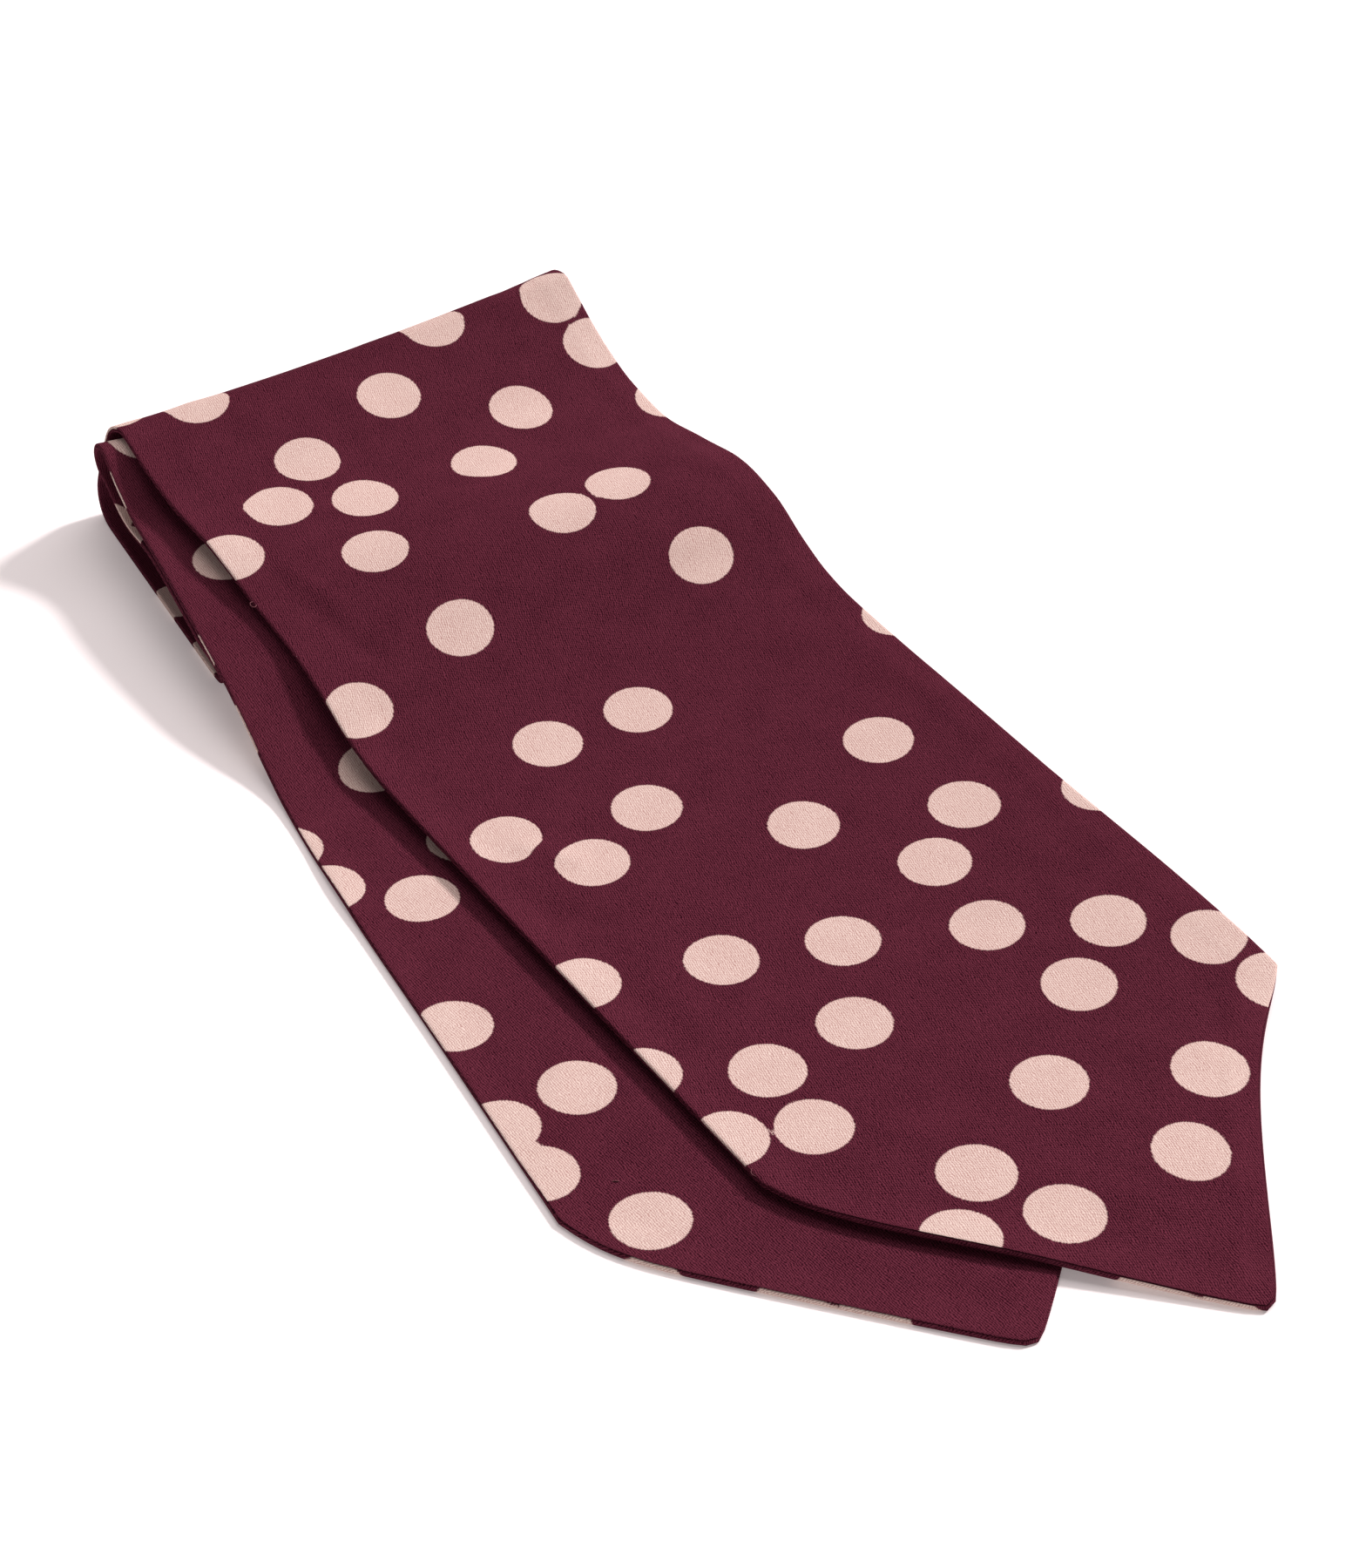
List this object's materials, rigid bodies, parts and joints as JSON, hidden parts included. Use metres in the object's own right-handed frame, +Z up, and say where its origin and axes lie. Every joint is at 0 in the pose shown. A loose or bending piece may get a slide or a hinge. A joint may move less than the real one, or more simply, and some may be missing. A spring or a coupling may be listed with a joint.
{
  "type": "folded narrow scarf with pointed ends",
  "caption": "Narrow two-ply cloth scarf with a pointed tip at each end, folded into four runs and lying flat as on a shelf or table.",
  "frame": {"origin": "middle of the footprint, at the surface that the scarf lies on", "axes": "+Y along the top run towards the far folds, +X to the right seen from the pointed ends, +Z up"},
  "size_m": [0.153, 0.3504, 0.0341],
  "materials": {
    "burgundy_cloth": "matt printed plain weave, burgundy with pale pink dots"
  },
  "bodies": {
    "root": {"top_run": "burgundy_cloth", "second_run": "burgundy_cloth", "hidden_layers": "burgundy_cloth"}
  },
  "joints": []
}
